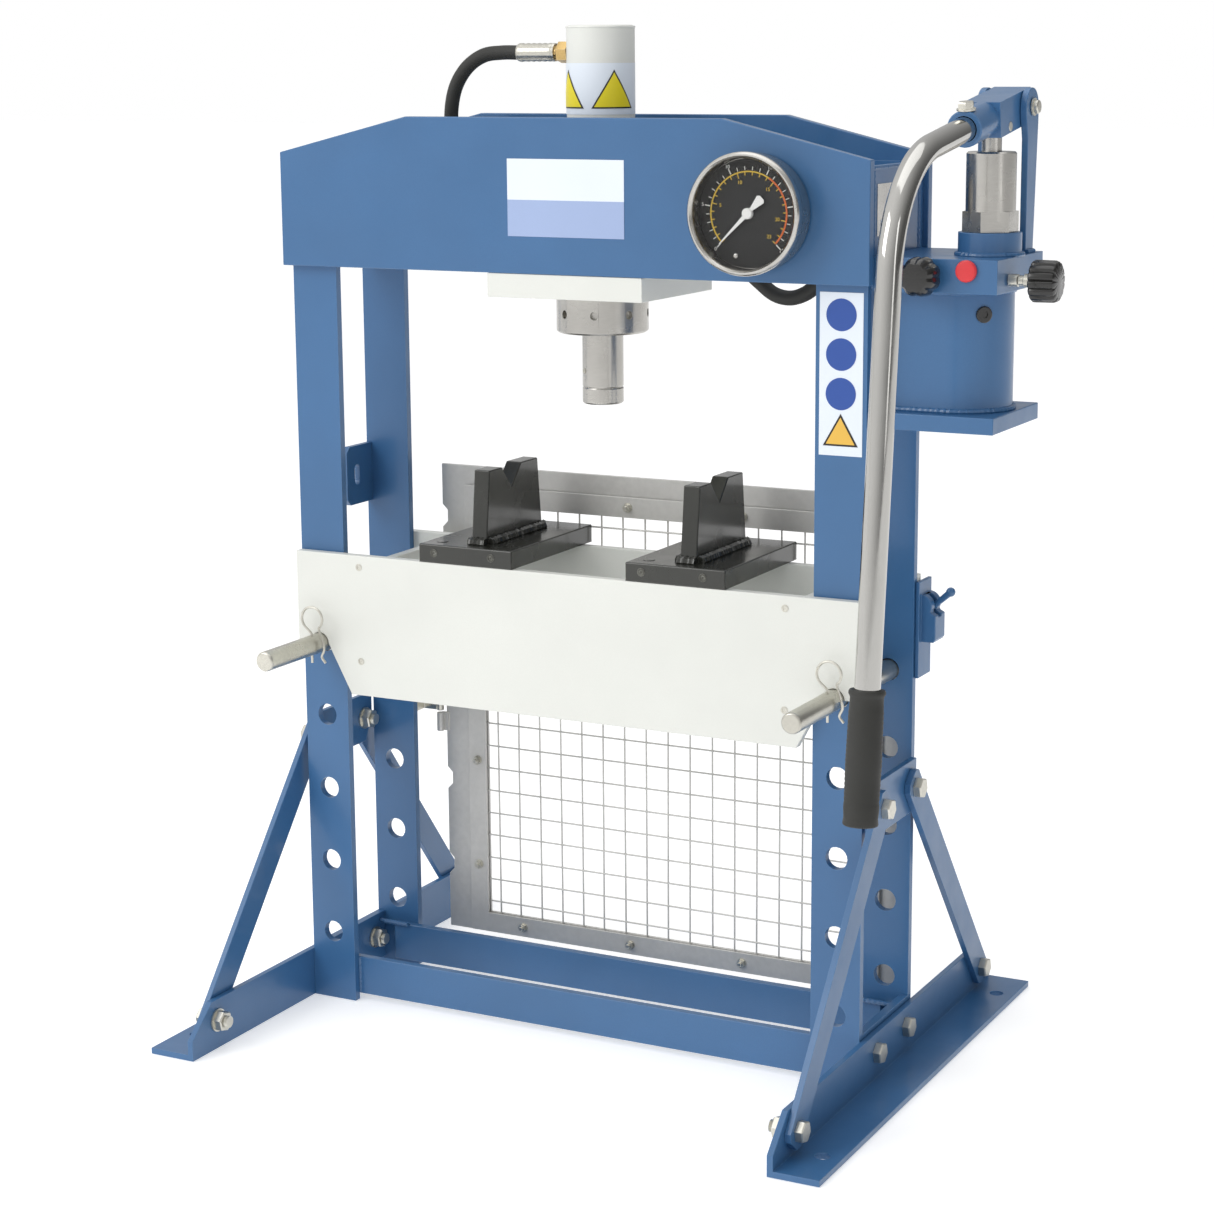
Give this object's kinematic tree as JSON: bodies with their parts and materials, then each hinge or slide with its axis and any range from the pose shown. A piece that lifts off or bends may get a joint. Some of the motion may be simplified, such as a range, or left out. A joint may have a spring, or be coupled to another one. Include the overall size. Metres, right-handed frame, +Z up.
{
  "type": "hydraulic shop press",
  "caption": "Bench hydraulic shop press: bolted portal frame, hand pump with lever, gauge, cylinder and ram, height-set bed on pins with V-blocks, and a hinged mesh guard.",
  "frame": {"origin": "middle of the overall box, on the floor under the feet", "axes": "+Z up, -Y towards the operator and the gauge, +X towards the hand pump"},
  "size_m": [0.8252, 0.5866, 0.987],
  "materials": {
    "blue_paint": "semi-gloss powder coat",
    "white_paint": "semi-gloss powder coat",
    "machined_steel": "turned and ground",
    "zinc": "zinc plated",
    "chrome": "polished tube",
    "galvanised": "galvanised sheet and wire",
    "black_oxide": "black, milled edges",
    "rubber": "moulded, matt",
    "brass": "plated hose fitting",
    "knob_plastic": "moulded",
    "dial": "printed dial",
    "needle": "painted white",
    "glass": "clear"
  },
  "bodies": {
    "frame": {"beam_front_plate": "blue_paint", "beam_rear_plate": "blue_paint", "beam_end_plate_left": "blue_paint", "beam_end_plate_right": "blue_paint", "post_front_left": "blue_paint", "post_front_right": "blue_paint", "post_rear_left": "blue_paint", "post_rear_right": "blue_paint", "rail_front": "blue_paint", "rail_rear": "blue_paint", "tie_plate_left": "blue_paint", "tie_plate_right": "blue_paint", "gusset_left": "blue_paint", "gusset_right": "blue_paint", "brace_front_left": "blue_paint", "brace_front_right": "blue_paint", "brace_rear_left": "blue_paint", "brace_rear_right": "blue_paint", "foot_left": "blue_paint", "foot_right": "blue_paint", "slot_bracket": "blue_paint", "pump_base_plate": "blue_paint", "pump_tank": "blue_paint", "pump_head_block": "blue_paint", "fulcrum_strap_left": "blue_paint", "fulcrum_strap_right": "blue_paint", "latch_housing": "blue_paint", "head_plate": "white_paint", "press_cylinder": "white_paint", "ring_nut": "machined_steel", "pump_cylinder": "machined_steel", "gauge_case": "machined_steel", "fulcrum_pin": "zinc", "guard_hinge": "zinc", "pressure_hose": "rubber", "hose_fitting": "brass", "gauge_dial": "dial", "gauge_glass": "glass"},
    "ram": {"ram": "machined_steel"},
    "handle": {"handle_socket": "blue_paint", "pump_lever": "chrome", "lever_grip": "rubber"},
    "plunger": {"pump_plunger": "machined_steel"},
    "release": {"release_knob": "knob_plastic"},
    "selector": {"selector_knob": "knob_plastic"},
    "needle": {"gauge_needle": "needle"},
    "pin_left": {"support_pin_left": "zinc"},
    "pin_right": {"support_pin_right": "zinc"},
    "clip_left": {"r_clip_left": "zinc"},
    "clip_right": {"r_clip_right": "zinc"},
    "bed": {"bed_plate_front": "white_paint", "bed_plate_rear": "white_paint", "bed_spacer_left": "white_paint", "bed_spacer_right": "white_paint"},
    "v_left": {"v_block_left": "black_oxide"},
    "v_right": {"v_block_right": "black_oxide"},
    "guard": {"guard_frame": "galvanised", "guard_strip": "galvanised", "guard_mesh": "galvanised"},
    "latch": {"latch_lever": "blue_paint"}
  },
  "joints": [
    {"name": "ram_slide", "type": "slide", "parent": "frame", "child": "ram", "axis": [0, 0, -1], "range_m": [0, 0.15]},
    {"name": "lever_pivot", "type": "hinge", "parent": "frame", "child": "handle", "pos_m": [0.33665, 0.05329, 0.912], "axis": [-1, 0, 0], "range_deg": [0, 30]},
    {"name": "plunger_slide", "type": "slide", "parent": "frame", "child": "plunger", "axis": [0, 0, 1], "range_m": [0, 0.024]},
    {"name": "release_valve", "type": "hinge", "parent": "frame", "child": "release", "pos_m": [0.38865, -0.01971, 0.764], "axis": [1, 0, 0], "range_deg": [0, 180]},
    {"name": "selector_valve", "type": "hinge", "parent": "frame", "child": "selector", "pos_m": [0.29965, -0.05671, 0.768], "axis": [0, -1, 0], "range_deg": [0, 90]},
    {"name": "gauge_needle_turn", "type": "hinge", "parent": "frame", "child": "needle", "pos_m": [0.14365, -0.08671, 0.8205], "axis": [0, 1, 0], "range_deg": [0, 270]},
    {"name": "pin_left_pull", "type": "slide", "parent": "frame", "child": "pin_left", "axis": [0, -1, 0], "range_m": [0, 0.26]},
    {"name": "pin_right_pull", "type": "slide", "parent": "frame", "child": "pin_right", "axis": [0, -1, 0], "range_m": [0, 0.26]},
    {"name": "clip_left_lift", "type": "slide", "parent": "pin_left", "child": "clip_left", "axis": [0, 0, 1], "range_m": [0, 0.06]},
    {"name": "clip_right_lift", "type": "slide", "parent": "pin_right", "child": "clip_right", "axis": [0, 0, 1], "range_m": [0, 0.06]},
    {"name": "bed_lift", "type": "slide", "parent": "frame", "child": "bed", "axis": [0, 0, 1], "range_m": [0, 0.077]},
    {"name": "v_left_slide", "type": "slide", "parent": "bed", "child": "v_left", "axis": [1, 0, 0], "range_m": [-0.085, 0.03]},
    {"name": "v_right_slide", "type": "slide", "parent": "bed", "child": "v_right", "axis": [1, 0, 0], "range_m": [-0.03, 0.08]},
    {"name": "guard_swing", "type": "hinge", "parent": "frame", "child": "guard", "pos_m": [-0.30035, 0.10679, 0.3], "axis": [0, 0, 1], "range_deg": [0, 100]},
    {"name": "latch_turn", "type": "hinge", "parent": "frame", "child": "latch", "pos_m": [0.25965, 0.09329, 0.441], "axis": [0, 1, 0], "range_deg": [-40, 30]}
  ],
  "couplings": [
    {"joint": "plunger_slide", "follows": "lever_pivot", "m_per_rad": 0.0428}
  ]
}
